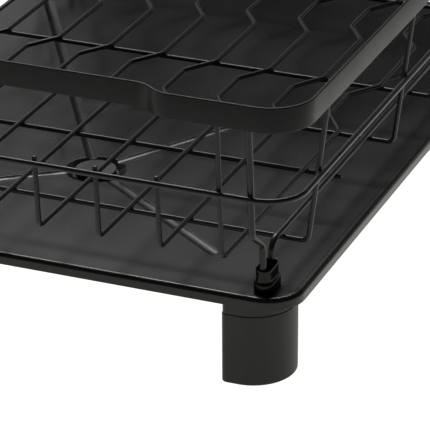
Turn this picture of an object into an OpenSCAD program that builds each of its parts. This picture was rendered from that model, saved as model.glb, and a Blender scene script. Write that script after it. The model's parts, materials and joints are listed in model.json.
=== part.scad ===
// Dish drying rack: a wire basket with rubber boots, standing in a drip tray on four plastic legs.
// Millimetres. +X right, +Y away from the front, +Z up. The origin is on the floor, at the middle of
// the whole rack. The basket stands loose in the tray, a little nearer its front edge.

/* [Drip tray] */
// Tray width across the rack
tray_w = 380; // [320:1:460]
// Tray length, front to back
tray_d = 509; // [430:1:590]
// Tray's middle behind the rack's middle
tray_y = 7; // [-15:0.5:15]
// Plan radius of the tray's corners
tray_corner = 24; // [16:1:40]
// Height of the outer skirt, rim included
skirt_h = 7.5; // [6.5:0.5:14]
// Radius of the rolled outer edge
edge_r = 3; // [2:0.5:3]
// How far the rim stands above the deck
rim_rise = 1; // [0.5:0.1:2]
// Thickness of the tray's plastic
wall = 2.5; // [2:0.1:3.5]
// Width of a drain groove
groove_w = 8; // [5:0.5:12]
// Depth of a drain groove
groove_deep = 1.2; // [0.6:0.1:1.4]

/* [Drain] */
// Drain centre to the tray's front edge
hub_front = 138; // [110:1:200]
// Radius of the sunk hub at deck level
hub_r = 20.5; // [18.5:0.5:26]
// Depth of the hub's ledge below the deck
hub_sink = 4; // [3:0.5:6]
// Bore of the outlet
drain_r = 12; // [9:0.5:12.5]
// Length of the swivel spout from its axis
spout_len = 160; // [100:1:164]
// Width of the spout's trough
spout_w = 30; // [22:1:34]
// Radius of the strainer's cap
cap_r = 14; // [10:0.5:14.5]

/* [Legs] */
// Height of the skirt's lower edge above the floor
leg_h = 54; // [40:1:90]
// Leg width across the rack
leg_w = 38.5; // [30:0.5:50]
// Leg length, front to back
leg_d = 55; // [44:1:64]
// Height of the collar moulded on the tray
collar_h = 6.5; // [4:0.5:12]
// Thickness of a leg pad
pad_t = 2.5; // [2:0.5:5]

/* [Basket] */
// Basket's middle from the rack's middle
basket_y = -5.5; // [-15:0.5:15]
// Length of the long wires between their end bends
basket_d = 492; // [420:1:560]
// Cross wires between their end bends
basket_w = 369; // [310:1:450]
// Diameter of the long and cross wires
wire_d = 3.2; // [2.5:0.1:4]
// Number of long wires
long_count = 8; // [5:1:10]
// Spacing of the long wires
pitch = 40; // [30:0.5:44]
// Long wires' axis above the deck
wire_up = 26.5; // [22:0.5:40]
// Sideways step of the zigzag
jog = 14.6; // [8:0.1:18]
// Length front to back of one sloping step
jog_run = 22.2; // [16:0.1:26]
// Length of the straight between two steps
jog_hold = 36.1; // [26:0.1:44]
// Distance between the two zigzags
zig_pitch = 154.4; // [130:0.1:180]
// Start of the first zigzag, from the basket's middle
zig_start = -42.3; // [-60:0.1:-30]
// Outward lean of the front and back uprights
lean_long = 4.3; // [2:0.1:8]
// Outward lean of the side uprights
lean_side = 7.2; // [3:0.1:10]
// Short cross wire from the basket's middle
short_y = -104; // [-140:1:-70]
// Middle cross wires from the basket's middle
mid_y = 41; // [30:1:60]
// End cross wires in from the long wires' end bends
end_in = 47; // [36:1:66]

/* [Rims] */
// Diameter of the round rim wire
rim_d = 3.8; // [3:0.1:6]
// Rim wire's axis above the long wires
rim_up = 44.5; // [35:0.5:60]
// Rim wire's plan corner radius
rim_corner = 24; // [16:1:40]
// Band's lower edge above the long wires
band_up = 89.5; // [70:0.5:120]
// Height of the flat band
band_h = 16; // [10:0.5:25]
// Thickness of the flat band
band_t = 2; // [1.5:0.1:3]
// Band's plan corner radius
band_corner = 27; // [18:1:40]
// How far the front's middle is set back
set_back = 10; // [4:0.5:14]
// How far the set-back's S-bends end short of the outermost long wires
set_gap = 14.7; // [10:0.1:45]
// Length of the S-bend at each end of it
set_len = 26; // [20:1:40]

/* [Loops and boots] */
// Diameter of the side loop wire
loop_d = 4.2; // [3.2:0.1:5]
// Side loops in from the cross wires' end bends
loop_in = 17.5; // [10:0.5:26]
// Boot's axis from the long wires' front bend
boot_in = 24; // [20:0.5:30]
// Spacing of the two strands in a boot
strand_gap = 14; // [10:0.5:16]
// Height of a boot
boot_h = 15; // [12:0.5:20]

/* [Hidden] */
$fn = 64;
lap = 0.3;                          // how far a straight runs into a bend
lap_step = 0.04;                    // a bend's section is this much larger than the straight's
weld = 0.15;                        // how deep two welded wires sink into each other
slip = 0.06;                        // radial running clearance of the spout on its boss
over = 1;                           // how far a cutter runs past what it cuts
bend_r = 5;                         // end bends of the long and cross wires
jog_r = 7;                          // bends of the zigzags
kink_r = 12;                        // bend from an upright's lean to the band's upright face
rim_top = leg_h + skirt_h;
deck_z = rim_top - rim_rise;
rim_flat = edge_r + 1.5;            // flat top of the rim, measured from the outer edge
rim_in = rim_flat + rim_rise;       // where the rim's inner slope meets the deck
hub_y = tray_y + hub_front - tray_d / 2;
hub_ring = 4;                       // flat ring of deck that belongs to the hub
front_end = [tray_w / 2 - 71, hub_front - 51.5];    // where a front groove ends, from the drain
back_dir = 59;                      // direction of a back groove
back_long = 0.625 * tray_d;         // and its length
ledge_z = deck_z - hub_sink;
boss_t = 3.5;
boss_r = drain_r + boss_t;          // the spout turns on this
boss_low = ledge_z - 8.5;
lip_out = 1;                        // snap lip that holds the spout up
lip_h = 2;
seal_t = 1.6;
seal_in = 0.9;                      // depth of the seal's groove
seal_z = ledge_z - 4.8;
spout_top = ledge_z - 3;
spout_low = spout_top - 11.5;
spout_wall = 2.5;
spout_floor = 2;
cup_in = boss_r + lip_out + 0.5;
collar_low = leg_h - collar_h;
leg_flush = 0.3;                    // leg front behind the skirt's face
leg_edge = 7.5;                     // leg side in from the skirt's side
leg_round = 4;                      // plan radius of the leg's inner corners
collar_step = 0.4;                  // the collar is this much inside the sleeve
leg_wall = 2.5;
leg_up = 0.5;                       // sleeve clear of the floor, on its pad
pad_in = 6;                         // pad's outline inside the leg's
snug = 0.1;                         // gap round a pad, and round a spigot in its collar
spigot_top = leg_h;
wire_z = deck_z + wire_up;
cross_z = wire_z - wire_d + weld;
rail_z = cross_z + (wire_d + loop_d) / 2 - weld;
rim_z = wire_z + rim_up;
band_z = wire_z + band_up;
kink_z = band_z - 2;                // uprights stand straight from here up
up_top = band_z + band_h - 3;
stub_top = rim_z + 4;               // inner uprights stop just above the rim wire
long_y = basket_d / 2;
side_x = basket_w / 2;
end_y = long_y - end_in;
loop_x = side_x - loop_in;
first_x = (long_count - 1) * pitch / 2 + jog / 2;
rim_hy = long_y + rim_up * tan(lean_long) + ((wire_d + rim_d) / 2 - weld) / cos(lean_long);
rim_hx = side_x + (rim_z - cross_z) * tan(lean_side) + ((wire_d + rim_d) / 2 - weld) / cos(lean_side);
kink_y = long_y + (kink_z - wire_z) * tan(lean_long);
kink_x = side_x + (kink_z - cross_z) * tan(lean_side);
band_y = kink_y + wire_d / 2 - weld + band_t / 2;    // middle of the band's thickness, ends
band_x = kink_x + wire_d / 2 - weld + band_t / 2;    // and sides
set_half = (long_count - 1) * pitch / 2 - jog / 2 - set_gap - set_len;      // half the set-back's width
loop_kink_y = band_y - band_t / 2 - loop_d / 2 + weld;
loop_rim_y = rim_hy - (rim_d + loop_d) / 2 + weld;
loop_knee_z = wire_z + 18;          // the loop leans outward from here up
loop_knee_y = loop_rim_y - (loop_kink_y - loop_rim_y) * (rim_z - loop_knee_z) / (kink_z - rim_z);
boot_y = long_y - boot_in;
loop_low = deck_z + 5;              // axis of the turn inside the boot
turn_r = strand_gap / 2 - 0.5;
strand_up = 4.5;                    // the outer strand stands upright up to here above the long wires
short_half = loop_x + 5;
neck_w = loop_d + 6.2;              // boot's neck round the two strands, and the foot under it
neck_d = strand_gap + loop_d + 2.6;
foot_w = neck_w + 2.6;
foot_d = neck_d + 2.2;
foot_h = 6.5;
mouth_wall = 1.2;
mouth_h = 6;

// ---- sweeping a section along a line of points with rounded corners ----

function unit(v) = v / norm(v);
function step(p, i) = unit(p[(i + 1) % len(p)] - p[i]);
function turn(u, w) = acos(min(1, max(-1, u * w)));
// How much of a straight the bend at point i uses up
function bend_use(p, r, i, closed) = !closed && (i == 0 || i == len(p) - 1) ? 0
  : r[i] * tan(turn(step(p, (i + len(p) - 1) % len(p)), step(p, i)) / 2);
// A vector at right angles to u
function beside(u) = unit(cross(u, abs(u[2]) < 0.9 ? [0, 0, 1] : [1, 0, 0]));

// Puts local X, Y and Z along x, y and z, at point s
module stand(x, y, z, s)
  multmatrix([[x[0], y[0], z[0], s[0]], [x[1], y[1], z[1], s[1]],
    [x[2], y[2], z[2], s[2]], [0, 0, 0, 1]]) children();

// p: points, r: a bend radius for each. The section's X points left of the path, and its Y along up.
// A straight runs a little way, run, into the bends at its ends, whose section is $fat larger.
module sweep(p, r, closed = false, up = undef, run = lap) {
  count = len(p);
  for (i = [0 : count - (closed ? 1 : 2)]) {
    $fat = 0;
    u = step(p, i);
    n = up == undef ? beside(u) : up;
    from = bend_use(p, r, i, closed);
    to = bend_use(p, r, (i + 1) % count, closed);
    start = from - (from > 0 ? run : 0);
    stand(cross(n, u), n, u, p[i] + u * start)
      linear_extrude(norm(p[(i + 1) % count] - p[i]) - start - to + (to > 0 ? run : 0)) children();
  }
  for (i = [(closed ? 0 : 1) : count - (closed ? 1 : 2)]) {
    $fat = lap_step;
    u = step(p, (i + count - 1) % count);
    w = step(p, i);
    axis = unit(cross(u, w));
    stand(u, cross(axis, u), axis, p[i] - u * bend_use(p, r, i, closed))
      translate([0, r[i], 0]) rotate([0, 0, -90])
        rotate_extrude(angle = turn(u, w)) translate([r[i], 0]) mirror([1, 0]) children();
  }
}

// ---- plan shapes ----

// Rectangle with round corners, k inside its outline
module plate(w, d, r, k = 0) {
  square([w - 2 * r, d - 2 * k], center = true);
  square([w - 2 * k, d - 2 * r], center = true);
  for (x = [-1, 1], y = [-1, 1]) translate([x * (w / 2 - r), y * (d / 2 - r)]) circle(r = r - k);
}

// Leg outline, k inside it: flat on the left with two small corners, a half round on the right.
// Its left front corner is the origin.
module leg_plan(k = 0) {
  big = leg_d / 2;
  flat = leg_w - big;
  small = max(leg_round - k, 0.5);
  in = k + small;
  intersection() {
    translate([flat, big]) circle(r = big - k);
    translate([flat - 0.5, 0]) square([big + 0.5, leg_d]);
  }
  translate([k, in]) square([flat - k, leg_d - 2 * in]);
  translate([in, k]) square([flat - in, leg_d - 2 * k]);
  for (y = [in, leg_d - in]) translate([in, y]) circle(r = small);
}

// The front right leg's place, and its mirror images
module at_leg(sx, sy) translate([0, tray_y, 0])
  mirror([sx < 0 ? 1 : 0, 0, 0]) mirror([0, sy > 0 ? 1 : 0, 0])
  translate([tray_w / 2 - leg_edge - leg_w, leg_flush - tray_d / 2, 0]) children();

module slot_plan(w, d) {
  square([w, d - w], center = true);
  for (y = [-1, 1]) translate([0, y * (d - w) / 2]) circle(d = w);
}

// ---- tray ----

// Section of the skirt and rim, X measured in from the outer edge
module rim_section() {
  polygon([[0, leg_h], [wall, leg_h], [wall, deck_z - wall], [rim_in, deck_z - wall], [rim_in, deck_z],
    [rim_flat, rim_top], [edge_r, rim_top], [edge_r, rim_top - edge_r], [0, rim_top - edge_r]]);
  intersection() {
    translate([edge_r, rim_top - edge_r]) circle(r = edge_r);
    translate([0, rim_top - edge_r]) square([edge_r, edge_r]);
  }
}

// Section of the sunk hub and the boss under it
module hub_section()
  polygon([[drain_r, ledge_z], [boss_r, ledge_z], [hub_r, deck_z], [hub_r + hub_ring, deck_z],
    [hub_r + hub_ring, deck_z - wall], [hub_r + 1, deck_z - wall], [boss_r + 2, ledge_z - wall],
    [boss_r, ledge_z - wall], [boss_r, boss_low + lip_h], [boss_r + lip_out, boss_low + lip_h / 2],
    [boss_r + lip_out / 2, boss_low], [drain_r, boss_low]]);

// One groove from the hub, with a round end
module groove(dir, long) {
  r = (groove_w * groove_w / 4 + groove_deep * groove_deep) / (2 * groove_deep);
  translate([0, hub_y, deck_z + r - groove_deep]) rotate([0, 0, dir]) {
    translate([hub_r - 2, 0, 0]) rotate([0, 90, 0]) cylinder(h = long - hub_r + 2, r = r);
    translate([long, 0, 0]) sphere(r = r);
  }
}

module drip_tray() color("dimgray") {
  hw = tray_w / 2;
  hd = tray_d / 2;
  front_dir = -atan2(front_end[1], front_end[0]);
  difference() {
    union() {
      translate([0, tray_y, 0]) sweep([[-hw, -hd, 0], [hw, -hd, 0], [hw, hd, 0], [-hw, hd, 0]],
        [tray_corner, tray_corner, tray_corner, tray_corner], true, [0, 0, 1], 0) rim_section();
      difference() {
        translate([0, tray_y, deck_z - wall]) linear_extrude(wall)
          plate(tray_w - 2 * rim_in, tray_d - 2 * rim_in, tray_corner - rim_in);
        translate([0, hub_y, deck_z - wall - over]) cylinder(h = wall + 2 * over, r = hub_r + hub_ring);
      }
      translate([0, hub_y, 0]) rotate_extrude() hub_section();
      for (sx = [-1, 1], sy = [-1, 1]) at_leg(sx, sy) translate([0, 0, collar_low])
        linear_extrude(deck_z - wall + 0.2 - collar_low) difference() {
          leg_plan(collar_step);
          leg_plan(collar_step + leg_wall);
        }
    }
    groove(front_dir, norm(front_end));
    groove(180 - front_dir, norm(front_end));
    groove(back_dir, back_long);
    groove(180 - back_dir, back_long);
    // Groove for the seal
    translate([0, hub_y, seal_z - seal_t / 2]) difference() {
      cylinder(h = seal_t, r = boss_r + lip_out);
      translate([0, 0, -over]) cylinder(h = seal_t + 2 * over, r = boss_r - seal_in);
    }
  }
}

// ---- legs ----

module leg(sx, sy) color("dimgray") at_leg(sx, sy) {
  floor_t = 2.5;
  ledge_t = 3;
  difference() {
    translate([0, 0, leg_up]) linear_extrude(collar_low - leg_up) leg_plan();
    // Recess for the pad
    linear_extrude(pad_t) leg_plan(pad_in - snug);
    // Hollow
    translate([0, 0, pad_t + floor_t]) linear_extrude(collar_low - ledge_t - pad_t - floor_t) leg_plan(leg_wall);
    translate([0, 0, pad_t + floor_t]) linear_extrude(collar_low) leg_plan(collar_step + 2 * leg_wall);
  }
  // Spigot inside the collar
  translate([0, 0, collar_low]) linear_extrude(spigot_top - collar_low) difference() {
    leg_plan(collar_step + leg_wall + snug);
    leg_plan(collar_step + 2 * leg_wall);
  }
}

module leg_front_right() leg(1, -1);
module leg_front_left() leg(-1, -1);
module leg_back_right() leg(1, 1);
module leg_back_left() leg(-1, 1);

module pad(sx, sy) color("black") at_leg(sx, sy) linear_extrude(pad_t) leg_plan(pad_in);
module pad_front_right() pad(1, -1);
module pad_front_left() pad(-1, -1);
module pad_back_right() pad(1, 1);
module pad_back_left() pad(-1, 1);

// ---- drain ----

module strainer() color("dimgray") translate([0, hub_y, ledge_z]) {
  plate_t = 1.2;
  cap_t = 2;
  cap_z = hub_sink - plate_t;
  hole_r = drain_r / 5;
  peg_r = 1.4;
  difference() {
    cylinder(h = plate_t, r = boss_r - 0.4);
    for (a = [0 : 60 : 300]) rotate([0, 0, a]) translate([3 * hole_r, 0, -over])
      cylinder(h = plate_t + 2 * over, r = hole_r);
    translate([0, 0, -over]) cylinder(h = plate_t + 2 * over, r = hole_r);
  }
  for (a = [45 : 90 : 315]) rotate([0, 0, a]) translate([cap_r - 2 * peg_r, 0, 0])
    cylinder(h = cap_z + cap_t / 4, r = peg_r);
  // Cap with a rounded edge
  translate([0, 0, cap_z]) rotate_extrude() {
    square([cap_r - cap_t / 2, cap_t]);
    intersection() {
      translate([cap_r - cap_t / 2, cap_t / 2]) circle(d = cap_t);
      square([cap_r, cap_t]);
    }
  }
}

module drain_spout() color("dimgray") translate([0, hub_y, 0]) rotate([0, 0, 180]) {
  neck = boss_low + lip_h + 0.5;      // the ring above the snap lip starts here
  deep = neck - spout_low - spout_floor;
  difference() {
    union() {
      translate([0, 0, spout_low]) cylinder(h = spout_top - spout_low, r = cup_in + spout_wall);
      translate([0, -spout_w / 2, spout_low]) cube([spout_len, spout_w, spout_top - spout_low - 2]);
    }
    translate([0, 0, spout_low + spout_floor]) cylinder(h = deep, r = cup_in);
    translate([0, 0, neck - over]) cylinder(h = spout_top - neck + 2 * over, r = boss_r + slip);
    // Trough, open at the top outside the cup and at its end
    translate([0, spout_wall - spout_w / 2, spout_low + spout_floor])
      cube([spout_len + over, spout_w - 2 * spout_wall, deep - over]);
    translate([cup_in + spout_wall + 1, spout_wall - spout_w / 2, spout_low + spout_floor])
      cube([spout_len, spout_w - 2 * spout_wall, spout_top]);
  }
}

module spout_seal() color("black") translate([0, hub_y, seal_z - seal_t / 2 + 0.1]) difference() {
  cylinder(h = seal_t - 0.2, r = boss_r - 0.02);
  translate([0, 0, -over]) cylinder(h = seal_t + 2 * over, r = boss_r - seal_in);
}

// ---- basket wires ----

module on_basket() translate([0, basket_y, 0]) children();

// One long wire. tall: its uprights reach the band
module long_wire(i) color("black") {
  x = first_x - i * pitch;
  tall = i == 0 || i == long_count - 1;
  zig = [for (k = [0, 1], q = [[0, 0], [jog, jog_run], [jog, jog_run + jog_hold], [0, 2 * jog_run + jog_hold]])
    [x - q[0], zig_start + k * zig_pitch + q[1], wire_z]];
  top_y = long_y + (stub_top - wire_z) * tan(lean_long);
  front = tall ? [[x, -kink_y, up_top], [x, -kink_y, kink_z]] : [[x, -top_y, stub_top]];
  back = tall ? [[x, kink_y, kink_z], [x, kink_y, up_top]] : [[x, top_y, stub_top]];
  p = concat(front, [[x, -long_y, wire_z]], zig, [[x, long_y, wire_z]], back);
  ends = tall ? [0, kink_r] : [0];
  r = concat(ends, [bend_r], [for (q = zig) jog_r], [bend_r], tall ? [kink_r, 0] : [0]);
  on_basket() sweep(p, r) circle(d = wire_d + $fat);
}

module long_wire_1() long_wire(0);
module long_wire_2() long_wire(1);
module long_wire_3() long_wire(2);
module long_wire_4() long_wire(3);
module long_wire_5() long_wire(4);
module long_wire_6() long_wire(5);
module long_wire_7() long_wire(6);
module long_wire_8() long_wire(7);

module cross_wire(y) color("black") on_basket()
  sweep([[-kink_x, y, up_top], [-kink_x, y, kink_z], [-side_x, y, cross_z],
    [side_x, y, cross_z], [kink_x, y, kink_z], [kink_x, y, up_top]],
    [0, kink_r, bend_r, bend_r, kink_r, 0]) circle(d = wire_d + $fat);

module cross_wire_front() cross_wire(-end_y);
module cross_wire_mid_front() cross_wire(-mid_y);
module cross_wire_mid_back() cross_wire(mid_y);
module cross_wire_back() cross_wire(end_y);
module cross_wire_short() color("black") on_basket() translate([-short_half, short_y, cross_z])
  rotate([0, 90, 0]) cylinder(h = 2 * short_half, d = wire_d);

// ---- rims ----

module rim_wire() color("black") on_basket()
  sweep([[-rim_hx, -rim_hy, rim_z], [rim_hx, -rim_hy, rim_z], [rim_hx, rim_hy, rim_z], [-rim_hx, rim_hy, rim_z]],
    [rim_corner, rim_corner, rim_corner, rim_corner], true) circle(d = rim_d + $fat);

module rim_band() color("black") {
  half = atan(set_back / set_len);
  quarter = set_len / (4 * cos(half) * cos(half));
  s = 0.98 * set_len / (2 * sin(2 * half));
  out = set_half + set_len - quarter;
  in = set_half + quarter;
  z = band_z + band_h / 2;
  c = band_corner;
  on_basket() sweep([[-band_x, -band_y, z], [-out, -band_y, z], [-in, set_back - band_y, z], [in, set_back - band_y, z],
    [out, -band_y, z], [band_x, -band_y, z], [band_x, band_y, z], [-band_x, band_y, z]],
    [c, s, s, s, s, c, c, c], true, [0, 0, 1]) square([band_t + $fat, band_h + $fat], center = true);
}

// Points of one loop from its front end to the bottom rail, in the loop's own plane
function loop_front() = [[-loop_kink_y, up_top], [-loop_kink_y, kink_z], [-loop_knee_y, loop_knee_z],
  [-boot_y - strand_gap / 2, wire_z + strand_up], [-boot_y - strand_gap / 2, loop_low],
  [-boot_y + strand_gap / 2, loop_low], [-boot_y + strand_gap / 2, rail_z]];
loop_bends = [0, kink_r, 7, 7, turn_r, turn_r, 8];

module loop(x) color("black") {
  f = loop_front();
  n = len(f);
  p = concat([for (q = f) [x, q[0], q[1]]], [for (k = [n - 1 : -1 : 0]) [x, -f[k][0], f[k][1]]]);
  on_basket() sweep(p, concat(loop_bends, [for (k = [n - 1 : -1 : 0]) loop_bends[k]])) circle(d = loop_d + $fat);
}
module loop_right() loop(loop_x);
module loop_left() loop(-loop_x);

// ---- boots ----

module boot(sx, sy) color("black") on_basket() {
  difference() {
    translate([sx * loop_x, sy * boot_y, deck_z]) {
      linear_extrude(foot_h) slot_plan(foot_w, foot_d);
      linear_extrude(boot_h) slot_plan(neck_w, neck_d);
    }
    // Open mouth, wider than the two strands
    translate([sx * loop_x, sy * boot_y, deck_z + boot_h - mouth_h])
      linear_extrude(mouth_h + over) slot_plan(neck_w - 2 * mouth_wall, neck_d - 2 * mouth_wall);
    // Snug round the wire's turn
    translate([sx * loop_x, sy * boot_y, 0])
      sweep([for (q = [[-strand_gap / 2, deck_z + boot_h + over], [-strand_gap / 2, loop_low],
        [strand_gap / 2, loop_low], [strand_gap / 2, deck_z + boot_h + over]]) [0, q[0], q[1]]],
        [0, turn_r, turn_r, 0]) circle(d = loop_d + lap_step + $fat);
  }
}
module boot_front_right() boot(1, -1);
module boot_front_left() boot(-1, -1);
module boot_back_right() boot(1, 1);
module boot_back_left() boot(-1, 1);

drip_tray();
leg_front_right();
leg_front_left();
leg_back_right();
leg_back_left();
pad_front_right();
pad_front_left();
pad_back_right();
pad_back_left();
strainer();
drain_spout();
spout_seal();
rim_band();
rim_wire();
loop_right();
loop_left();
long_wire_1();
long_wire_2();
long_wire_3();
long_wire_4();
long_wire_5();
long_wire_6();
long_wire_7();
long_wire_8();
cross_wire_front();
cross_wire_short();
cross_wire_mid_front();
cross_wire_mid_back();
cross_wire_back();
boot_front_right();
boot_front_left();
boot_back_right();
boot_back_left();
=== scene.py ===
# %% [markdown]
# # A dish drying rack
# A wire basket with a flat steel band round its top stands on four rubber boots in a moulded drip
# tray. The CAD model gives every place and size. This script gives the pieces their finish: steel
# wire under a glossy coat, a powder-coated band, satin and matte plastic, and black rubber.

# %% Load the frame
import json
import math

import bmesh
import bpy
from mathutils import Matrix, Vector


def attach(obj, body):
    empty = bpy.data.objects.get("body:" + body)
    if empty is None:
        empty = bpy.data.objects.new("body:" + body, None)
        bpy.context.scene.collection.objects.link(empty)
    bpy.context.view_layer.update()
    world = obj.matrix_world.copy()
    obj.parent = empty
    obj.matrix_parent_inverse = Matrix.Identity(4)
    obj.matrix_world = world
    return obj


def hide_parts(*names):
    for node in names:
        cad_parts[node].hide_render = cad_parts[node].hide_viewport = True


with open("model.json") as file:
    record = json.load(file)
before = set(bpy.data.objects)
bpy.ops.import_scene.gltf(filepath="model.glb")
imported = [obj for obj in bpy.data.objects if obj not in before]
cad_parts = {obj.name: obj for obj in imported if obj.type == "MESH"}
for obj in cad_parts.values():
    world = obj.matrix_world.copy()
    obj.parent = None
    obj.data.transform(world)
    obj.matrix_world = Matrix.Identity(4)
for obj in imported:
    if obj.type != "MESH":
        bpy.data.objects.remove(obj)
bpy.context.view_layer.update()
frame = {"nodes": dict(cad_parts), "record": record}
nodes = frame["nodes"]
MM = 0.001

# %% [markdown]
# ## Camera
# A long lens, well back and a little above the tray, looks at the front right corner. The lens
# shift puts that corner where it belongs in the frame without turning the camera.

# %% Camera
AZIMUTH, ELEVATION, ROLL = math.radians(21.29), math.radians(25.73), math.radians(0.14)
SENSOR = 36.0                       # width of the film, mm
LENS = 238.3                        # focal length, mm
SHIFT = (-0.1153, 0.0414)           # shares of the picture's width
CORNER = Vector((0.147, -0.2515, 0.087))        # front bend of the first long wire
OFFSET = (0.02572, 0.01512, 1.69366)           # from there: to the right, up and back

back = Vector((math.sin(AZIMUTH) * math.cos(ELEVATION), -math.cos(AZIMUTH) * math.cos(ELEVATION),
               math.sin(ELEVATION)))
level = Vector((math.cos(AZIMUTH), math.sin(AZIMUTH), 0))
lift = back.cross(level)
right = level * math.cos(ROLL) + lift * math.sin(ROLL)
up = lift * math.cos(ROLL) - level * math.sin(ROLL)
turn = Matrix((right, up, back)).transposed()

scene = bpy.context.scene
camera = bpy.data.objects.new("camera", bpy.data.cameras.new("camera"))
scene.collection.objects.link(camera)
scene.camera = camera
camera.matrix_world = Matrix.LocRotScale(
    CORNER + right * OFFSET[0] + up * OFFSET[1] + back * OFFSET[2], turn.to_quaternion(), None)
camera.data.sensor_width = SENSOR
camera.data.lens = LENS
camera.data.shift_x, camera.data.shift_y = SHIFT
camera.data.clip_start, camera.data.clip_end = 0.05, 20
print("camera at", [round(v, 3) for v in camera.location])

# %% [markdown]
# ## Shader maths
# A pattern is a formula. This class wraps a socket, so that the formula can be written as one, and
# each sign adds its own Math node. Any other node comes from `add`, which sets the node up before
# it fills or links its sockets.

# %% A socket that does sums
class Value:
    def __init__(self, material, socket):
        self.material, self.socket = material, socket

    def maths(self, operation, a, b):
        return self.material.add("ShaderNodeMath", {"operation": operation}, {0: a, 1: b})

    def __add__(self, other):
        return self.maths("ADD", self, other)

    def __radd__(self, other):
        return self.maths("ADD", other, self)

    def __mul__(self, other):
        return self.maths("MULTIPLY", self, other)

    def __rmul__(self, other):
        return self.maths("MULTIPLY", other, self)


# %% A material that adds its own nodes
class Finish:
    def __init__(self, name, **fixed):
        self.material = bpy.data.materials.new(name)
        self.material.use_nodes = True
        self.tree = self.material.node_tree
        self.shader = self.tree.nodes["Principled BSDF"]
        for socket, value in fixed.items():
            self.shader.inputs[socket.replace("_", " ")].default_value = value
        self.place = self.add("ShaderNodeTexCoord", out="Object")

    def add(self, kind, settings=None, sockets=None, out=0):
        """Adds a node, sets it up, fills its sockets and returns one of its outputs."""
        node = self.tree.nodes.new(kind)
        for setting, value in (settings or {}).items():
            setattr(node, setting, value)
        for socket, value in (sockets or {}).items():
            self.fill(node.inputs[socket], value)
        return Value(self, node.outputs[out])

    def fill(self, socket, value):
        if isinstance(value, Value):
            self.tree.links.new(value.socket, socket)
        else:
            socket.default_value = value

    def noise(self, size, detail=2.0, roughness=0.5):
        """A cloudy pattern from 0 to 1 whose blobs are about that size, in metres."""
        return self.add("ShaderNodeTexNoise", None, {
            "Vector": self.place, "Scale": 1 / size, "Detail": detail, "Roughness": roughness})

    def ramp(self, value, low, high, to_low=0.0, to_high=1.0):
        """Value, taken from low..high to to_low..to_high, and held inside that."""
        return self.add("ShaderNodeMapRange", {"clamp": True}, {
            "Value": value, "From Min": low, "From Max": high, "To Min": to_low, "To Max": to_high})

    def mix(self, share, a, b):
        """Colour a where share is 0, and b where it is 1."""
        factor, first, second, result = 0, 6, 7, 2      # the node's sockets when it mixes colours
        return self.add("ShaderNodeMix", {"data_type": "RGBA"},
                        {factor: share, first: (*a, 1), second: (*b, 1)}, out=result)

    def bump(self, height, depth):
        """A Bump node whose full height is that depth, in metres."""
        return self.add("ShaderNodeBump", None, {"Height": height, "Distance": depth, "Strength": 1.0})

    def wear(self, **sockets):
        """Links the finished patterns to the shader."""
        for socket, value in sockets.items():
            self.fill(self.shader.inputs[socket.replace("_", " ")], value)
        return self.material


print("shader helpers ready")

# %% [markdown]
# ## Finishes
# Everything is black, so the finishes differ by their gloss and by what is in the surface: the
# coat on a dipped wire is thick and wavy, a powder coat has orange peel, a mould leaves a fine
# etched grain, and rubber is soft and a little dusty. An image would have to be unwrapped onto every
# wire, so each pattern is noise of the right size on Object coordinates instead.

# %% Coated wire
WAVE_DEPTH, PEEL_DEPTH, SKIN_DEPTH = 0.00003, 0.00003, 0.00008      # of the bumps, metres


def coated_wire():
    f = Finish("wire_coat", Specular_IOR_Level=0.2)
    waves = f.noise(0.009, 2)
    dust = f.noise(0.0012, 3)
    return f.wear(
        Base_Color=f.mix(f.ramp(dust, 0.45, 0.75), (0.008, 0.008, 0.008), (0.016, 0.016, 0.015)),
        Roughness=f.ramp(waves, 0.3, 0.7, 0.26, 0.32) + dust * 0.04,
        Normal=f.bump(waves, WAVE_DEPTH))


# %% Powder-coated band
def coated_band():
    f = Finish("band_coat", Specular_IOR_Level=0.11)
    peel = f.noise(0.0014, 2)
    waves = f.noise(0.03, 2)
    return f.wear(
        Base_Color=f.mix(f.ramp(peel, 0.4, 0.7), (0.006, 0.006, 0.0065), (0.010, 0.010, 0.010)),
        Roughness=f.ramp(waves, 0.3, 0.7, 0.30, 0.36) + peel * 0.06,
        Normal=f.bump(peel, PEEL_DEPTH))


# %% Moulded plastic
def moulded(name, dark, light, rough, shine, grain, depth):
    """Black plastic: an etched grain of that size and depth, and cloudy gloss."""
    f = Finish(name, Specular_IOR_Level=shine)
    etched = f.noise(grain, 3, roughness=0.6)
    flow = f.noise(0.09, 2)
    dust = f.noise(0.0025, 4, roughness=0.65)
    return f.wear(
        Base_Color=f.mix(f.ramp(dust, 0.45, 0.75), dark, light),
        Roughness=f.ramp(flow, 0.3, 0.7, rough - 0.04, rough + 0.04) + etched * 0.08,
        Normal=f.bump(etched, depth))


# %% Rubber
def rubber(name, dark, light, rough, shine):
    """Black rubber: a faintly uneven skin, and a bloom that dulls it in patches."""
    f = Finish(name, Specular_IOR_Level=shine)
    skin = f.noise(0.0016, 3)
    bloom = f.noise(0.007, 3)
    return f.wear(
        Base_Color=f.mix(f.ramp(bloom, 0.4, 0.75), dark, light),
        Roughness=f.ramp(bloom, 0.3, 0.7, rough - 0.05, rough + 0.05) + skin * 0.06,
        Normal=f.bump(skin, SKIN_DEPTH))


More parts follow.
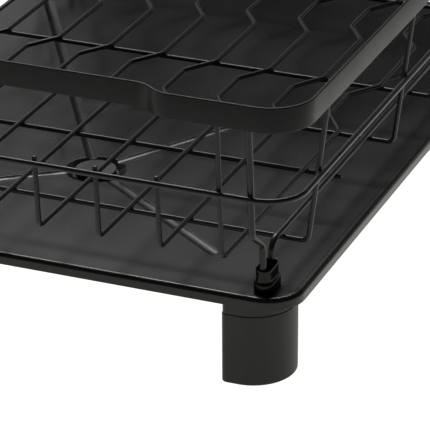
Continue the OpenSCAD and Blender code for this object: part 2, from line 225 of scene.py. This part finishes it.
# %% Each slot gets its finish
finishes = {
    "wire_coat": coated_wire(),
    "band_coat": coated_band(),
    "tray_plastic": moulded("tray_plastic", dark=(0.0045, 0.0045, 0.005), light=(0.008, 0.008, 0.0078),
                            rough=0.23, shine=0.23, grain=0.0006, depth=0.00001),
    "leg_plastic": moulded("leg_plastic", dark=(0.009, 0.009, 0.009), light=(0.014, 0.014, 0.0135),
                           rough=0.42, shine=0.22, grain=0.0007, depth=0.00002),
    "pad_rubber": rubber("pad_rubber", dark=(0.02, 0.02, 0.021), light=(0.035, 0.035, 0.034),
                         rough=0.75, shine=0.5),
    "boot_rubber": rubber("boot_rubber", dark=(0.004, 0.004, 0.004), light=(0.007, 0.007, 0.007),
                          rough=0.14, shine=0.14),
}
slots = {s["node"]: s["material_slot"] for s in frame["record"]["subparts"]}
for name, node in nodes.items():
    node.data.materials.clear()
    node.data.materials.append(finishes[slots[name]])
print("finishes:", sorted(finishes))

# %% [markdown]
# ## Pieces
# The wires, band, boots, legs and pads are built again from the CAD model's sizes, with rounder
# sections, bends and ends than a CAD solid needs. The tray, strainer and spout are copies of the CAD
# meshes with softened edges, and the spout's seal stays as it is, because it is out of sight. Lengths
# below are millimetres until a mesh is finished. Each piece rides on its CAD body.

# %% The basket's and the tray's sizes
TRAY_W, TRAY_D, TRAY_Y, DECK_Z = 380.0, 509.0, 7.0, 60.5
LEG_W, LEG_D, LEG_IN, LEG_FLUSH, COLLAR_Z = 38.5, 55.0, 7.5, 0.3, 47.5
LEG_UP, PAD_T, PAD_IN = 0.5, 2.5, 6.0
BASKET_Y, HALF_LONG, HALF_WIDE = -5.5, 246.0, 184.5
WIRE, RIM_WIRE, LOOP_WIRE = 3.2, 3.8, 4.2
WIRE_Z, RIM_Z, BAND_Z, BAND_H, BAND_T = 87.0, 131.5, 176.5, 16.0, 2.0
WELD = 0.15                         # how deep two welded wires sink into each other
KINK_UNDER = 2                      # wires turn upright this far under the band
END_UNDER = 3                       # and end this far under its top edge
STUB_OVER = 4                       # the other ends stop this far over the rim wire
BOOT_IN = 24                        # from the turn of the long wires to the middle of a boot
LEAN_LONG, LEAN_SIDE = math.tan(math.radians(4.3)), math.tan(math.radians(7.2))
CROSS_Z = WIRE_Z - WIRE + WELD
RAIL_Z = CROSS_Z + (WIRE + LOOP_WIRE) / 2 - WELD
KINK_Z, TOP_Z = BAND_Z - KINK_UNDER, BAND_Z + BAND_H - END_UNDER
STUB_Z = RIM_Z + STUB_OVER
KINK_Y = HALF_LONG + (KINK_Z - WIRE_Z) * LEAN_LONG
KINK_X = HALF_WIDE + (KINK_Z - CROSS_Z) * LEAN_SIDE
BAND_Y = KINK_Y + WIRE / 2 - WELD + BAND_T / 2
BAND_X = KINK_X + WIRE / 2 - WELD + BAND_T / 2
REACH = (WIRE + RIM_WIRE) / 2 - WELD
RIM_Y = HALF_LONG + (RIM_Z - WIRE_Z) * LEAN_LONG + REACH / math.cos(math.atan(LEAN_LONG))
RIM_X = HALF_WIDE + (RIM_Z - CROSS_Z) * LEAN_SIDE + REACH / math.cos(math.atan(LEAN_SIDE))
LOOP_X, BOOT_Y, STRANDS = 167.0, HALF_LONG - BOOT_IN, 14.0
CROSS_AT = {"front": -199.0, "mid_front": -41.0, "mid_back": 41.0, "back": 199.0}
SHORT_AT = -104.0
print("band half sizes:", round(BAND_X, 2), round(BAND_Y, 2), " rim:", round(RIM_X, 2), round(RIM_Y, 2))


# %% Finishing a piece
pieces = {}
bodies = {n: body for body, names in frame["record"]["behaviour"]["bodies"].items() for n in names}


def finish_piece(bm, name, node, offset=(0, 0, 0), sharp=35, stands_for=True):
    """Turns a bmesh in millimetres into a piece on a CAD node's body, and stands it for the node."""
    bmesh.ops.translate(bm, verts=bm.verts, vec=offset)
    bmesh.ops.scale(bm, verts=bm.verts, vec=(MM, MM, MM))
    mesh = bpy.data.meshes.new(name)
    bm.to_mesh(mesh)
    bm.free()
    mesh.shade_smooth()
    mesh.set_sharp_from_angle(angle=math.radians(sharp))
    piece = bpy.data.objects.new(name, mesh)
    scene.collection.objects.link(piece)
    mesh.materials.append(finishes[slots[node]])
    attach(piece, bodies[node])
    if stands_for:
        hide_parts(node)
    pieces[name] = piece
    return piece


FACE_WEIGHT = 90                    # over 50, a big face counts for more than the small ones beside it


def flatten(piece):
    """Makes big flat faces shade flat, so that only the rounded edges beside them shade round."""
    steady = piece.modifiers.new("steady_normals", "WEIGHTED_NORMAL")
    steady.mode, steady.weight, steady.keep_sharp = "FACE_AREA", FACE_WEIGHT, True
    return piece


print("bodies:", sorted(set(bodies.values())))

# %% [markdown]
# ### Bent rod and strip
# A wire is bent cold from straight rod, so its mesh is made the same way: a ring of edges is
# extruded along each straight and spun round the centre of each bend. A curve with a round bevel
# would be shorter to write, but it doesn't hold a bend's radius. The ends are turned over, because
# the coat draws back into a round drop there.

# %% Rings
def unit(v):
    return v.normalized()


def facing(along, upward=None):
    """A rotation whose Z is along, and whose Y is upward if that is given."""
    z = unit(along)
    y = upward or (Vector((0, 0, 1)) if abs(z.z) < 0.9 else Vector((1, 0, 0)))
    x = unit(y.cross(z))
    return Matrix((x, z.cross(x), z)).transposed().to_4x4()


def round_ring(bm, place, diameter, sides):
    """A wire's section."""
    ring = bmesh.ops.create_circle(bm, cap_ends=False, radius=diameter / 2, segments=sides, matrix=place)
    return list(dict.fromkeys(e for v in ring["verts"] for e in v.link_edges))


def verts_of(ring):
    """A ring's vertices, once each, in the order of its edges."""
    return list(dict.fromkeys(v for e in ring for v in e.verts))


def strip_ring(bm, place, thick, high, corner):
    """A strip's section with rounded corners."""
    face = bmesh.ops.create_grid(bm, x_segments=1, y_segments=1, size=0.5)
    bmesh.ops.scale(bm, verts=face["verts"], vec=(thick, high, 1))
    bmesh.ops.bevel(bm, geom=face["verts"], offset=corner, offset_type="OFFSET", segments=4, profile=0.5,
                    affect="VERTICES", clamp_overlap=True, material=-1)
    bmesh.ops.delete(bm, geom=bm.faces[:], context="FACES_ONLY")
    bmesh.ops.transform(bm, matrix=place, verts=bm.verts)
    return bm.edges[:]


# %% Straights
def extruded(bm, ring, by):
    """Extrudes a ring of edges and returns the new ring."""
    out = bmesh.ops.extrude_edge_only(bm, edges=ring)["geom"]
    verts = [g for g in out if isinstance(g, bmesh.types.BMVert)]
    bmesh.ops.translate(bm, verts=verts, vec=by)
    edges = [g for g in out if isinstance(g, bmesh.types.BMEdge)]
    return [e for e in edges if all(v in verts for v in e.verts)]


# %% Round ends
END_STEPS = 4                       # rings in a rounded end
DROP_SHARE = 0.45                   # its height, as a share of the wire's radius
TIP_SHARE = 0.12                    # its last and smallest ring, as a share too


def round_end(bm, ring, outward):
    """Closes a ring with a low round drop that doesn't stand further out than the ring did."""
    step = math.pi / 2 / END_STEPS
    verts = verts_of(ring)
    middle = sum((v.co for v in verts), Vector()) / len(verts)
    radius = (verts[0].co - middle).length
    drop = radius * DROP_SHARE
    bmesh.ops.translate(bm, verts=verts, vec=-outward * drop)
    middle -= outward * drop
    before = 1.0
    for i in range(1, END_STEPS + 1):
        angle = math.pi / 2 * i / END_STEPS
        share = math.cos(angle) if i < END_STEPS else TIP_SHARE
        ring = extruded(bm, ring, outward * drop * (math.sin(angle) - math.sin(angle - step)))
        verts = verts_of(ring)
        centre = sum((v.co for v in verts), Vector()) / len(verts)
        bmesh.ops.scale(bm, verts=verts, vec=(share / before,) * 3, space=Matrix.Translation(-centre))
        before = share
    bmesh.ops.contextual_create(bm, geom=ring)


# %% Bends
SAME_POINT = 0.01                   # points of a mesh this close together are one


def bent(points, radii, ring_maker, closed=False, upward=None, steps=10):
    """A rod or strip along points, each with its bend radius, with that many steps in a right angle."""
    points = [Vector(p) for p in points]
    count = len(points)
    if closed:
        middle = (points[0] + points[1]) / 2
        order = [(points[(i + 1) % count], radii[(i + 1) % count]) for i in range(count)]
        order.append((middle, 0))
        at = middle
    else:
        order = list(zip(points[1:], radii[1:]))
        at = points[0]
    bm = bmesh.new()
    along = unit(order[0][0] - at)
    first = ring = ring_maker(bm, Matrix.Translation(at) @ facing(along, upward))
    for i, (corner, radius) in enumerate(order):
        if i == len(order) - 1:
            ring = extruded(bm, ring, corner - at)
            break
        after = unit(order[i + 1][0] - corner)
        angle = along.angle(after)
        use = radius * math.tan(angle / 2)
        ring = extruded(bm, ring, corner - along * use - at)
        axis = unit(along.cross(after))
        centre = corner - along * use + axis.cross(along) * radius
        verts = verts_of(ring)
        spun = bmesh.ops.spin(bm, geom=verts + ring, cent=centre, axis=axis, angle=angle,
                              steps=max(2, round(steps * angle / (math.pi / 2))), use_duplicate=False)
        ring = [g for g in spun["geom_last"] if isinstance(g, bmesh.types.BMEdge)]
        at, along = corner + after * use, after
    if closed:
        bmesh.ops.remove_doubles(bm, verts=bm.verts, dist=SAME_POINT)
    else:
        round_end(bm, ring, along)
        round_end(bm, first, -unit(order[0][0] - points[0]))
    bmesh.ops.recalc_face_normals(bm, faces=bm.faces)
    return bm


def rod(diameter, sides=20):
    """A ring maker for wire of that diameter."""
    return lambda bm, place: round_ring(bm, place, diameter, sides)


print("a rounded end has", END_STEPS, "rings")

# %% [markdown]
# ### Long wires
# Eight wires run from front to back and turn up at both ends. On the way each steps sideways and
# back twice, so that a plate's edge is held between two of them. The outermost two go on up to the
# band, and the others end in stubs just over the rim wire.

# %% Long wires
LONG_COUNT, PITCH = 8, 40.0
BEND, ZIG_BEND, KINK, WIRE_SHARP = 5.0, 7.0, 12.0, 60
JOG, JOG_RUN, JOG_HOLD, ZIG_PITCH, ZIG_START = 14.6, 22.2, 36.1, 154.4, -42.3
FIRST_X = (LONG_COUNT - 1) / 2 * PITCH + JOG / 2
long_x = [FIRST_X - i * PITCH for i in range(LONG_COUNT)]
in_basket = (0, BASKET_Y, 0)
for i, x in enumerate(long_x):
    steps = [(0, 0), (JOG, JOG_RUN), (JOG, JOG_RUN + JOG_HOLD), (0, 2 * JOG_RUN + JOG_HOLD)]
    zigzags = [(x - dx, ZIG_START + k * ZIG_PITCH + dy, WIRE_Z) for k in (0, 1) for dx, dy in steps]
    if i in (0, LONG_COUNT - 1):
        ends = [(x, KINK_Y, TOP_Z), (x, KINK_Y, KINK_Z)]
        radii = [0, KINK]
    else:
        ends = [(x, HALF_LONG + (STUB_Z - WIRE_Z) * LEAN_LONG, STUB_Z)]
        radii = [0]
    path = ([(a, -b, c) for a, b, c in ends] + [(x, -HALF_LONG, WIRE_Z)] + zigzags
            + [(x, HALF_LONG, WIRE_Z)] + ends[::-1])
    radii = radii + [BEND] + [ZIG_BEND] * len(zigzags) + [BEND] + radii[::-1]
    finish_piece(bent(path, radii, rod(WIRE)), f"long_rod_{i + 1}", f"long_wire_{i + 1}", in_basket,
                 WIRE_SHARP)
print("long wires at x =", [round(x, 1) for x in long_x])

# %% [markdown]
# ### Cross wires
# Four wires run across under the long ones and turn up inside the band at both sides. A fifth is
# short and straight. Half of each path is written down and the other half is its mirror image, so
# both ends match.

# %% Cross wires
for name, y in CROSS_AT.items():
    half = [(HALF_WIDE, y, CROSS_Z), (KINK_X, y, KINK_Z), (KINK_X, y, TOP_Z)]
    path = [(-a, b, c) for a, b, c in half[::-1]] + half
    finish_piece(bent(path, [0, KINK, BEND, BEND, KINK, 0], rod(WIRE)), f"cross_rod_{name}",
                 f"cross_wire_{name}", in_basket, WIRE_SHARP)
SHORT_OVER = 5                      # how far the short one reaches past the loops
path = [(side * (LOOP_X + SHORT_OVER), SHORT_AT, CROSS_Z) for side in (-1, 1)]
finish_piece(bent(path, [0, 0], rod(WIRE)), "cross_rod_short", "cross_wire_short", in_basket, WIRE_SHARP)
print("cross wires:", len(CROSS_AT) + 1)

# %% [markdown]
# ### Side loops
# One thicker rod on each side carries the basket. It comes down from the band, turns round inside a
# boot, runs to the other end as the bottom side rail and goes up again there. It is bent from one
# rod, as on the real rack, so that no joint shows.

# %% Side loops
LOOP_SIDES, LOOP_BEND, RAIL_BEND = 24, 7, 8
KNEE_UP, NECK_UP, LOOP_UP = 18, 4.5, 5      # of the knee and the neck over WIRE_Z, and the turn over the deck
TURN_SLACK = 0.5                            # the turn's radius is this much under half the strands' distance
LOOP_KINK_Y = BAND_Y - BAND_T / 2 - LOOP_WIRE / 2 + WELD
LOOP_RIM_Y = RIM_Y - (RIM_WIRE + LOOP_WIRE) / 2 + WELD
KNEE_Z = WIRE_Z + KNEE_UP
KNEE_Y = LOOP_RIM_Y - (LOOP_KINK_Y - LOOP_RIM_Y) * (RIM_Z - KNEE_Z) / (KINK_Z - RIM_Z)
LOOP_LOW, TURN = DECK_Z + LOOP_UP, STRANDS / 2 - TURN_SLACK
for side, x in (("right", LOOP_X), ("left", -LOOP_X)):
    front = [(x, -LOOP_KINK_Y, TOP_Z), (x, -LOOP_KINK_Y, KINK_Z), (x, -KNEE_Y, KNEE_Z),
             (x, -BOOT_Y - STRANDS / 2, WIRE_Z + NECK_UP), (x, -BOOT_Y - STRANDS / 2, LOOP_LOW),
             (x, -BOOT_Y + STRANDS / 2, LOOP_LOW), (x, -BOOT_Y + STRANDS / 2, RAIL_Z)]
    radii = [0, KINK, LOOP_BEND, LOOP_BEND, TURN, TURN, RAIL_BEND]
    path = front + [(a, -b, c) for a, b, c in front[::-1]]
    finish_piece(bent(path, radii + radii[::-1], rod(LOOP_WIRE, LOOP_SIDES)), f"loop_rod_{side}",
                 f"loop_{side}", in_basket, WIRE_SHARP)
print("loops from", round(LOOP_KINK_Y, 1), "down to", LOOP_LOW)

# %% [markdown]
# ### Rim wire and band
# Both are closed hoops. Each mesh starts half way along one side, goes all the way round and is
# merged where it meets itself. The band is a flat strip with rounded corners. Its front is set back
# in the middle by an S-bend on each side, and each S is two equal and opposite arcs.

# %% Rim wire
CORNER_R, RIM_SIDES, HOOP_STEPS = 24.0, 24, 16
corners = [(-1, -1), (1, -1), (1, 1), (-1, 1)]
rim = bent([(a * RIM_X, b * RIM_Y, RIM_Z) for a, b in corners], [CORNER_R] * 4,
           rod(RIM_WIRE, RIM_SIDES), closed=True, steps=HOOP_STEPS)
finish_piece(rim, "rim_rod", "rim_wire", in_basket, WIRE_SHARP)
print("rim wire corners:", CORNER_R, "mm")


# %% Band
BAND_R, SET_BACK, SET_HALF, SET_LEN = 27.0, 10.0, 92.0, 26.0
BAND_EDGE, BAND_SHARP = 0.7, 50
S_SHARE = 0.98                      # of the largest radius that fits, so a short straight is left in an S


def band_strip(bm, place):
    return strip_ring(bm, place, BAND_T, BAND_H, BAND_EDGE)


half_turn = math.atan(SET_BACK / SET_LEN)
tangent = SET_LEN / (4 * math.cos(half_turn) ** 2)      # from an arc's end to the corner it rounds
s_bend = S_SHARE * SET_LEN / (2 * math.sin(2 * half_turn))
out_x, in_x, band_mid = SET_HALF + SET_LEN - tangent, SET_HALF + tangent, BAND_Z + BAND_H / 2
path = [(-BAND_X, -BAND_Y), (-out_x, -BAND_Y), (-in_x, SET_BACK - BAND_Y), (in_x, SET_BACK - BAND_Y),
        (out_x, -BAND_Y), (BAND_X, -BAND_Y), (BAND_X, BAND_Y), (-BAND_X, BAND_Y)]
radii = [BAND_R, s_bend, s_bend, s_bend, s_bend, BAND_R, BAND_R, BAND_R]
band = bent([(a, b, band_mid) for a, b in path], radii, band_strip, closed=True,
            upward=Vector((0, 0, 1)), steps=HOOP_STEPS)
finish_piece(band, "band_strip", "rim_band", in_basket, BAND_SHARP)
print("S-bend radius:", round(s_bend, 1), "mm")

# %% [markdown]
# ### Welds
# Where two wires cross they are pressed together hot and sink a little into each other, and the
# coat then pools in the corner. A flattened ball at each crossing fills that corner.

# %% One bead
UP, OUT_X, OUT_Y = (0, 0, 1), (1, 0, 0), (0, 1, 0)
BALL_SIDES, BALL_ROWS = 12, 8
BEAD, THIN = 1.75, 0.8              # half a bead's width, and half its thickness
BEAD_SHARP = 80


def bead(bm, place, across):
    """A flattened ball at place, thin along the direction across."""
    ball = bmesh.ops.create_uvsphere(bm, u_segments=BALL_SIDES, v_segments=BALL_ROWS, radius=1)
    bmesh.ops.scale(bm, verts=ball["verts"], vec=(BEAD, BEAD, THIN))
    turn_to = facing(Vector(across))
    bmesh.ops.transform(bm, matrix=Matrix.Translation(place) @ turn_to, verts=ball["verts"])


def jogged(x, y):
    """Where a long wire that starts at x runs when it passes y."""
    for k in (0, 1):
        along = y - ZIG_START - k * ZIG_PITCH
        if 0 < along < 2 * JOG_RUN + JOG_HOLD:
            return x - JOG * min(1, along / JOG_RUN, (2 * JOG_RUN + JOG_HOLD - along) / JOG_RUN)
    return x


# %% A bead at every crossing
bm = bmesh.new()
floor_joint = WIRE_Z - (WIRE - WELD) / 2
for y in (*CROSS_AT.values(), SHORT_AT):
    for x in long_x:
        bead(bm, (jogged(x, y), y, floor_joint), UP)
    for x in (-LOOP_X, LOOP_X):
        bead(bm, (x, y, CROSS_Z + (WIRE - WELD) / 2), UP)
for side in (-1, 1):
    for x in long_x:
        y = HALF_LONG + (RIM_Z - WIRE_Z) * LEAN_LONG + (WIRE - WELD) / 2
        bead(bm, (x, side * y, RIM_Z), OUT_Y)
    for y in CROSS_AT.values():
        x = HALF_WIDE + (RIM_Z - CROSS_Z) * LEAN_SIDE + (WIRE - WELD) / 2
        bead(bm, (side * x, y, RIM_Z), OUT_X)
    for x in (-LOOP_X, LOOP_X):
        bead(bm, (x, side * (LOOP_RIM_Y + (LOOP_WIRE - WELD) / 2), RIM_Z), OUT_Y)
print("weld beads:", len(bm.faces) // (BALL_SIDES * BALL_ROWS))
finish_piece(bm, "weld_beads", "rim_wire", in_basket, BEAD_SHARP, stands_for=False)

# %% [markdown]
# ### Boots
# Each boot is a soft moulded cap pushed over the bend of a loop. A ring in the shape of a racetrack
# is drawn up the outside, over the rounded lip and down into the mouth. A round lathe won't do,
# because the boot is longer than it is wide.

# %% A boot's profile
BOOT_SIDES, BOOT_SHARP = 36, 50
boot_profile = [                    # radius of the round ends, and height above the deck
    (6.0, 0.0), (6.35, 0.12), (6.5, 0.5), (6.5, 4.4), (6.42, 5.3), (6.15, 6.0), (5.7, 6.4), (5.3, 6.7),
    (5.08, 7.4), (5.0, 9.0), (4.98, 11.6), (5.06, 12.8), (5.2, 13.5), (5.2, 14.3), (5.08, 14.8), (4.8, 15.0),
    (4.45, 14.9), (4.2, 14.5), (4.08, 13.6), (4.02, 9.6), (3.8, 9.15), (3.2, 9.0), (1.2, 9.0)]
FOOT_SPREAD, NECK_SPREAD = 5.0, 5.2      # from the boot's middle to the centres of its round ends
SHOULDER = 7                            # the first point of the profile that belongs to the neck


def racetrack(ring, was, radius, spread, z):
    """Moves a ring whose round ends were that far from the middle to a racetrack of a new size."""
    for v in verts_of(ring):
        angle = math.atan2(v.co.y - math.copysign(min(abs(v.co.y), was), v.co.y), v.co.x)
        v.co = (radius * math.cos(angle), math.copysign(spread, v.co.y) + radius * math.sin(angle), z)


# %% Four boots
for end, sy in (("front", -1), ("back", 1)):
    for side, sx in (("right", 1), ("left", -1)):
        bm = bmesh.new()
        was = 0.0
        half_side = Matrix.Rotation(math.pi / BOOT_SIDES, 4, "Z")
        ring = round_ring(bm, half_side, 2, BOOT_SIDES)
        base = list(ring)
        for i, (radius, z) in enumerate(boot_profile):
            spread = FOOT_SPREAD if i < SHOULDER else NECK_SPREAD
            if i:
                ring = extruded(bm, ring, (0, 0, 0))
            racetrack(ring, was, radius, spread, z)
            was = spread
        bmesh.ops.contextual_create(bm, geom=base)
        bmesh.ops.contextual_create(bm, geom=ring)
        bmesh.ops.recalc_face_normals(bm, faces=bm.faces)
        finish_piece(bm, f"boot_cap_{end}_{side}", f"boot_{end}_{side}",
                     (sx * LOOP_X, BASKET_Y + sy * BOOT_Y, DECK_Z), BOOT_SHARP)
print("boots:", sum(n.startswith("boot_") for n in pieces), "profile points:", len(boot_profile))

# %% [markdown]
# ### Legs and pads
# A leg is a D in plan: flat towards the middle of the rack, half round on the outside. The outline
# is a point spun through half a turn, and two corners rounded with a bevel. Its edges are soft, as
# on any moulding, and a rubber pad sits in a recess underneath.

# %% D-shaped outline
LEG_ROUND, LEAST_ROUND = 4.0, 0.8
D_STEPS, CORNER_STEPS, EDGE_STEPS = 40, 6, 4
SHARP_CORNER = math.radians(60)     # edges that turn more than this are rounded


def d_face(bm, inset, z):
    """A D-shaped face that lies that far inside a leg's outline."""
    flat = LEG_W - LEG_D / 2
    start = bm.verts.new((flat, inset, z))
    spun = bmesh.ops.spin(bm, geom=[start], cent=(flat, LEG_D / 2, z), axis=(0, 0, 1), angle=math.pi,
                          steps=D_STEPS, use_duplicate=False)
    last = [g for g in spun["geom_last"] if isinstance(g, bmesh.types.BMVert)][0]
    left = [bm.verts.new((inset, y, z)) for y in (LEG_D - inset, inset)]
    for pair in ((last, left[0]), (left[0], left[1]), (left[1], start)):
        bm.edges.new(pair)
    bmesh.ops.contextual_create(bm, geom=bm.edges[:])
    bmesh.ops.bevel(bm, geom=left, offset=max(LEG_ROUND - inset, LEAST_ROUND), offset_type="OFFSET",
                    segments=CORNER_STEPS, profile=0.5, affect="VERTICES", clamp_overlap=True, material=-1)
    return bm.faces[:][0]


# %% From outline to moulding
def raised(bm, face, height):
    """Extrudes a face upwards and leaves a closed prism."""
    out = bmesh.ops.extrude_face_region(bm, geom=[face], use_keep_orig=True)["geom"]
    bmesh.ops.translate(bm, verts=[g for g in out if isinstance(g, bmesh.types.BMVert)], vec=(0, 0, height))
    bmesh.ops.recalc_face_normals(bm, faces=bm.faces)


def soften(bm, z, offset):
    """Rounds the sharp edges at that height."""
    edges = [e for e in bm.edges if e.is_manifold and e.calc_face_angle() > SHARP_CORNER
             and all(abs(v.co.z - z) < SAME_POINT for v in e.verts)]
    bmesh.ops.bevel(bm, geom=edges, offset=offset, offset_type="OFFSET", segments=EDGE_STEPS,
                    profile=0.5, affect="EDGES", clamp_overlap=True, material=-1)


def underside(bm):
    """The big face at the bottom."""
    return min(bm.faces, key=lambda f: f.calc_center_median().z - f.calc_area())


def at_corner(bm, sx, sy):
    """Moves a leg's mesh to its corner of the tray."""
    bmesh.ops.translate(bm, verts=bm.verts, vec=(TRAY_W / 2 - LEG_IN - LEG_W, LEG_FLUSH - TRAY_D / 2, 0))
    bmesh.ops.scale(bm, verts=bm.verts, vec=(sx, -sy, 1))
    bmesh.ops.recalc_face_normals(bm, faces=bm.faces)


# %% Four legs, each with its pad
TOP_EDGE, FOOT_EDGE, PAD_EDGE, PAD_GAP = 0.5, 1.2, 0.5, 0.1
TREAD_IN, TREAD = 2.0, 0.5          # a rim that wide round the sole, which is that much higher
MOULD_SHARP = 40
in_tray = (0, TRAY_Y, 0)
for end, sy in (("front", -1), ("back", 1)):
    for side, sx in (("right", 1), ("left", -1)):
        bm = bmesh.new()
        raised(bm, d_face(bm, 0, LEG_UP), COLLAR_Z - LEG_UP)
        soften(bm, COLLAR_Z, TOP_EDGE)
        soften(bm, LEG_UP, FOOT_EDGE)
        bottom = underside(bm)
        bmesh.ops.inset_region(bm, faces=[bottom], thickness=PAD_IN - FOOT_EDGE - PAD_GAP)
        bmesh.ops.translate(bm, verts=bottom.verts, vec=(0, 0, PAD_T - LEG_UP))
        at_corner(bm, sx, sy)
        flatten(finish_piece(bm, f"leg_sleeve_{end}_{side}", f"leg_{end}_{side}", in_tray, MOULD_SHARP))

        bm = bmesh.new()
        raised(bm, d_face(bm, PAD_IN, 0), PAD_T - PAD_GAP)
        soften(bm, 0, PAD_EDGE)
        sole = underside(bm)
        bmesh.ops.inset_region(bm, faces=[sole], thickness=TREAD_IN)
        bmesh.ops.inset_region(bm, faces=[sole], thickness=TREAD, depth=0)
        bmesh.ops.translate(bm, verts=sole.verts, vec=(0, 0, TREAD))
        at_corner(bm, sx, sy)
        flatten(finish_piece(bm, f"pad_sole_{end}_{side}", f"pad_{end}_{side}", in_tray, MOULD_SHARP))
print("legs and pads:", sum(n.startswith(("leg_", "pad_")) for n in pieces))

# %% [markdown]
# ### Tray, strainer and spout
# These are already the right shape. A copy of the CAD mesh is merged, its flat faces are joined
# and its sharp edges are rounded, because no moulded edge is ever quite sharp.

# %% Softened copies
SAME_METRES = 2e-6                  # CAD points this close together are one
NEARLY_FLAT = math.radians(0.6)     # faces that turn less than this are joined
SHARP_EDGE = math.radians(25)       # edges that turn more than this are rounded
ROUND_STEPS, COPY_SHARP = 3, 50


def softened(node, name, radius):
    """A copy of a CAD node's mesh with its sharp edges rounded to that radius."""
    bm = bmesh.new()
    bm.from_mesh(nodes[node].data)
    bmesh.ops.remove_doubles(bm, verts=bm.verts, dist=SAME_METRES)
    bmesh.ops.dissolve_limit(bm, angle_limit=NEARLY_FLAT, use_dissolve_boundaries=False,
                             verts=bm.verts, edges=bm.edges)
    edges = [e for e in bm.edges if e.is_manifold and e.calc_face_angle(0) > SHARP_EDGE]
    bmesh.ops.bevel(bm, geom=edges, offset=radius * MM, offset_type="OFFSET", segments=ROUND_STEPS,
                    profile=0.5, affect="EDGES", clamp_overlap=True, material=-1)
    bmesh.ops.scale(bm, verts=bm.verts, vec=(1 / MM,) * 3)
    piece = flatten(finish_piece(bm, name, node, sharp=COPY_SHARP))
    print(name, "faces:", len(piece.data.polygons))


softened("drip_tray", "tray_moulding", 0.5)
softened("strainer", "strainer_cap", 0.35)
softened("drain_spout", "spout_trough", 0.6)

# %% [markdown]
# ## Floor and light
# The floor is a wide sheet of white paper. It glows a little, so that it stays white all round the
# rack and hardly shows a shadow, and it gets dimmer towards the back, so that less of its light comes
# from there. Glossy black shows what it mirrors more than what lights it, so the soft boxes are
# placed by their reflections: a strong one above and behind draws the highlights on the wires, weak
# ones behind and on the left give the deck its grey, and a low one behind on the right follows the
# tray's rounded edge. The camera itself doesn't see them.

# %% Floor
FLOOR_HALF, GLOW = 6.0, 1.12
FADE_FROM, FADE_TO = 0.14, 0.5      # where along Y the floor gets dimmer, metres
bm = bmesh.new()
bmesh.ops.create_grid(bm, x_segments=1, y_segments=1, size=FLOOR_HALF)
floor = bpy.data.objects.new("floor", bpy.data.meshes.new("floor"))
bm.to_mesh(floor.data)
bm.free()
scene.collection.objects.link(floor)
paper = Finish("floor_paper", Roughness=0.8, Specular_IOR_Level=0.0, Emission_Strength=GLOW)
along = paper.add("ShaderNodeSeparateXYZ", None, {0: paper.place}, out=1)
floor.data.materials.append(paper.wear(
    Base_Color=paper.mix(paper.noise(0.4), (0.30, 0.30, 0.30), (0.33, 0.33, 0.33)),
    Emission_Color=paper.mix(paper.ramp(along, FADE_FROM, FADE_TO), (1.0, 0.985, 0.94), (0.5, 0.5, 0.49))))
print("floor", FLOOR_HALF * 2, "m wide")


# %% Lights
def soft_box(name, place, target, width, height, watts):
    """A rectangular light at place that faces target, in metres and watts."""
    light = bpy.data.lights.new(name, "AREA")
    light.shape, light.size, light.size_y, light.energy = "RECTANGLE", width, height, watts
    box = bpy.data.objects.new(name, light)
    scene.collection.objects.link(box)
    box.location = place
    box.rotation_mode = "QUATERNION"
    box.rotation_quaternion = (Vector(place) - Vector(target)).to_track_quat("Z", "Y")
    box.visible_camera = False


front_right, deck_middle, deck_front = (0.1, -0.15, 0.08), (0, 0, 0.06), (0.05, -0.15, 0.06)
soft_box("top_light", (-0.5, 0.75, 1.35), front_right, width=1.0, height=0.42, watts=25)
soft_box("back_card", (0.05, 0.78, 0.74), deck_front, width=1.0, height=0.46, watts=0.27)
soft_box("left_card", (-0.74, 0.75, 0.52), deck_middle, width=0.62, height=0.52, watts=0.72)
soft_box("right_card", (0.52, 0.95, 0.2), front_right, width=0.5, height=0.4, watts=0.3)

# %% The room around it
ROOM_GREY, ROOM_STRENGTH = 0.8, 0.06
world = bpy.data.worlds.new("studio")
scene.world = world
world.use_nodes = True
room = world.node_tree.nodes["Background"]
room.inputs["Color"].default_value = (ROOM_GREY, ROOM_GREY, ROOM_GREY, 1)
room.inputs["Strength"].default_value = ROOM_STRENGTH
scene.view_settings.view_transform = "Standard"
